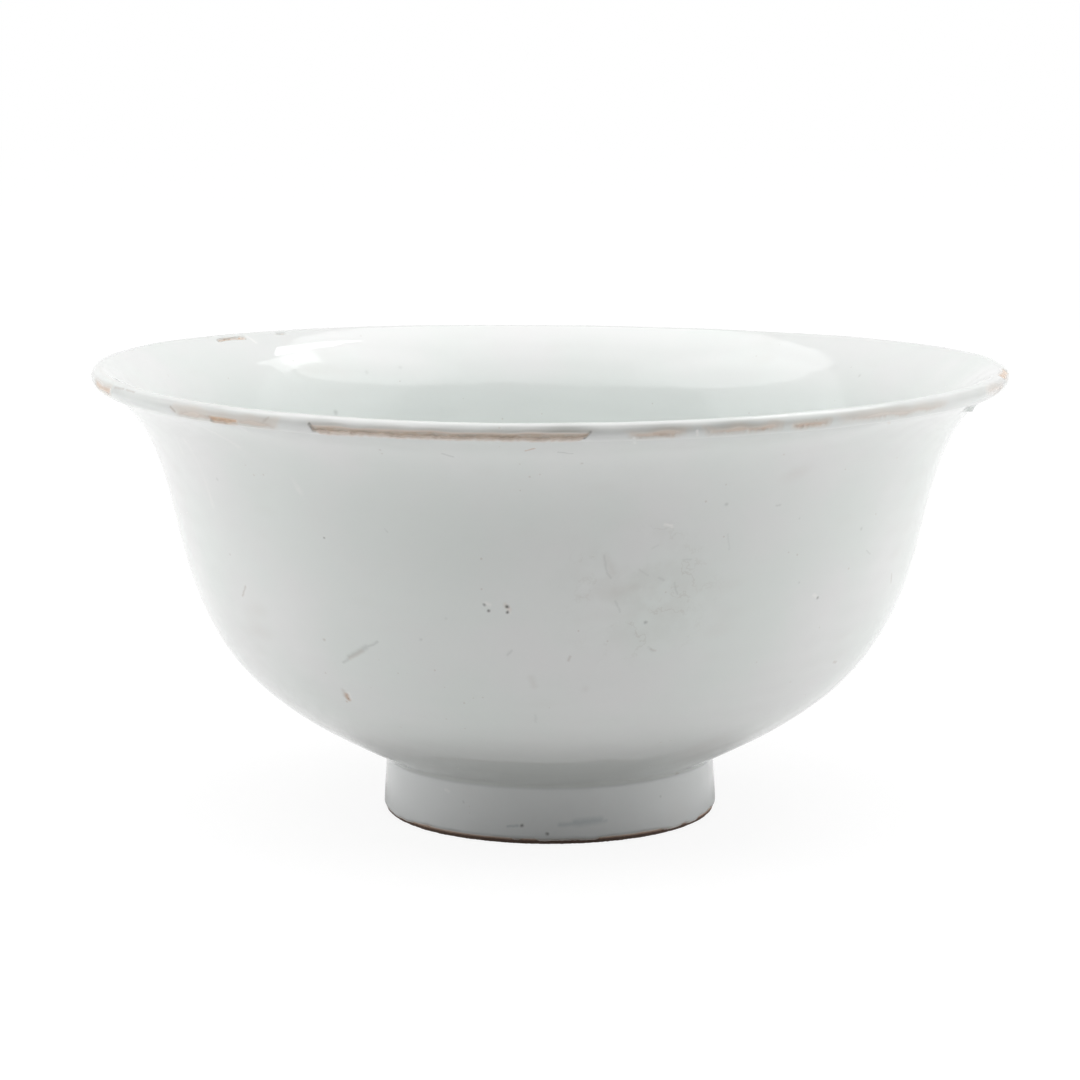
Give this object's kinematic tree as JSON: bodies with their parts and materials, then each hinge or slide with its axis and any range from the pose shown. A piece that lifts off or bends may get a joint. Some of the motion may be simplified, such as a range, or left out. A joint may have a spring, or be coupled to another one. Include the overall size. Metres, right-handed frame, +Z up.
{
  "type": "footed glazed bowl",
  "caption": "Deep round bowl of white tin-glazed earthenware with a flared rim and a low foot ring, its glaze flaked along the lip.",
  "frame": {"origin": "centre of the foot ring's resting face, on the table", "axes": "+Z up along the axis of turning; -Y towards the front, where the longest glaze flake is"},
  "size_m": [0.25, 0.25, 0.1245],
  "materials": {
    "biscuit_clay": "bare fired clay, buff to orange brown",
    "fired_slip": "fired clay slip",
    "tin_glaze": "glossy opaque white glaze with a faint blue-green tint"
  },
  "bodies": {
    "root": {"thrown_body": "biscuit_clay", "foot_ring": "biscuit_clay", "luting_slip": "fired_slip", "inside_glaze": "tin_glaze", "outside_glaze": "tin_glaze", "lip_glaze": "tin_glaze", "foot_glaze": "tin_glaze", "recess_glaze": "tin_glaze"}
  },
  "joints": []
}
